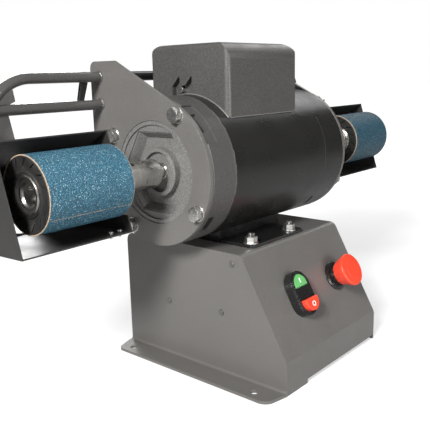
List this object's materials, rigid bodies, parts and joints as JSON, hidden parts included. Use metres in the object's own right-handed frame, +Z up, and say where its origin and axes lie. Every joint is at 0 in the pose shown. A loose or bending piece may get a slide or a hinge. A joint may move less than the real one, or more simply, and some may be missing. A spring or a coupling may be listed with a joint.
{
  "type": "drum sander",
  "caption": "Double-ended bench drum sander: face-mounted motor on a sloping steel pedestal, abrasive sleeve drum and dust hood at each shaft end.",
  "frame": {"origin": "on the bench surface, below the motor axis and midway between the pedestal's side plates", "axes": "+X along the motor axis from the near drum to the far drum, -Y towards the operator and the control panel, +Z up"},
  "size_m": [0.678, 0.263, 0.3759],
  "materials": {
    "panel_paint": "warm grey metallic powder coat",
    "motor_paint": "dark grey machine enamel",
    "cast_paint": "grey painted cast iron",
    "box_paint": "dark speckled powder coat",
    "black_paint": "black paint",
    "hood_paint": "dark grey powder coat",
    "zinc": "bright zinc plated",
    "turned_steel": "turned bare steel",
    "rubber": "moulded black rubber",
    "abrasive": "blue zirconia abrasive cloth",
    "black_plastic": "black moulded plastic",
    "green_plastic": "green moulded plastic",
    "red_plastic": "red moulded plastic",
    "laminations": "stacked steel laminations",
    "copper": "enamelled copper wire",
    "can": "capacitor can",
    "bakelite": "brown phenolic board",
    "cream_plastic": "cream moulded plastic"
  },
  "bodies": {
    "base": {"pedestal_wrap": "panel_paint", "side_plate_near": "panel_paint", "side_plate_far": "panel_paint", "bottom_plate": "panel_paint", "side_screws": "zinc", "motor_foot": "black_paint", "foot_bolts": "zinc", "foot_washers": "zinc", "foot_nuts": "zinc", "stator_shell": "motor_paint", "end_bell_near": "cast_paint", "end_bell_far": "motor_paint", "stator_core": "laminations", "windings": "copper", "bearing_outer_rings": "turned_steel", "bearing_balls": "turned_steel", "start_contact_plate": "bakelite", "capacitor_box": "box_paint", "capacitor_box_screw": "zinc", "capacitors": "can", "bracket_plate_near": "panel_paint", "bracket_plate_far": "panel_paint", "face_washers": "zinc", "face_bolts": "zinc", "tie_rod": "black_paint", "rail_upper_near": "panel_paint", "rail_lower_near": "panel_paint", "rail_upper_far": "panel_paint", "rail_lower_far": "panel_paint", "rail_braces": "black_paint", "hood_supports": "panel_paint", "hood_near": "hood_paint", "hood_far": "hood_paint", "dust_spigots": "panel_paint", "hood_screws": "zinc", "switch_housing": "black_plastic", "switch_block": "black_plastic", "estop_collar": "black_plastic", "estop_nut": "black_plastic", "estop_contact_block": "cream_plastic", "cable_gland": "black_plastic"},
    "spindle": {"motor_shaft": "turned_steel", "rotor": "laminations", "bearing_inner_rings": "turned_steel", "governor_disc": "copper", "arbor_near": "turned_steel", "arbor_far": "turned_steel", "arbor_set_screws": "turned_steel", "drum_hubs": "turned_steel", "drum_rubber_near": "rubber", "drum_rubber_far": "rubber", "abrasive_sleeve_near": "abrasive", "abrasive_sleeve_far": "abrasive", "hub_screws": "turned_steel"},
    "start_button": {"start_button": "green_plastic"},
    "stop_button": {"stop_button": "red_plastic"},
    "estop_plunger": {"estop_plunger": "black_plastic"},
    "estop_head": {"estop_head": "red_plastic"}
  },
  "joints": [
    {"name": "spindle_spin", "type": "hinge", "parent": "base", "child": "spindle", "pos_m": [0, 0, 0.2369], "axis": [1, 0, 0], "continuous": true},
    {"name": "start_push", "type": "slide", "parent": "base", "child": "start_button", "axis": [0, 0.8764, -0.4816], "range_m": [0, 0.003], "stiffness_N_per_m": 300, "springref_m": -0.002},
    {"name": "stop_push", "type": "slide", "parent": "base", "child": "stop_button", "axis": [0, 0.8764, -0.4816], "range_m": [0, 0.003], "stiffness_N_per_m": 300, "springref_m": -0.002},
    {"name": "estop_push", "type": "slide", "parent": "base", "child": "estop_plunger", "axis": [0, 0.8764, -0.4816], "range_m": [0, 0.005]},
    {"name": "estop_twist", "type": "hinge", "parent": "estop_plunger", "child": "estop_head", "pos_m": [0.0495, -0.12058, 0.09235], "axis": [0, 0.8764, -0.4816], "range_deg": [0, 45], "stiffness_Nm_per_rad": 0.02, "springref_deg": -5.73}
  ]
}
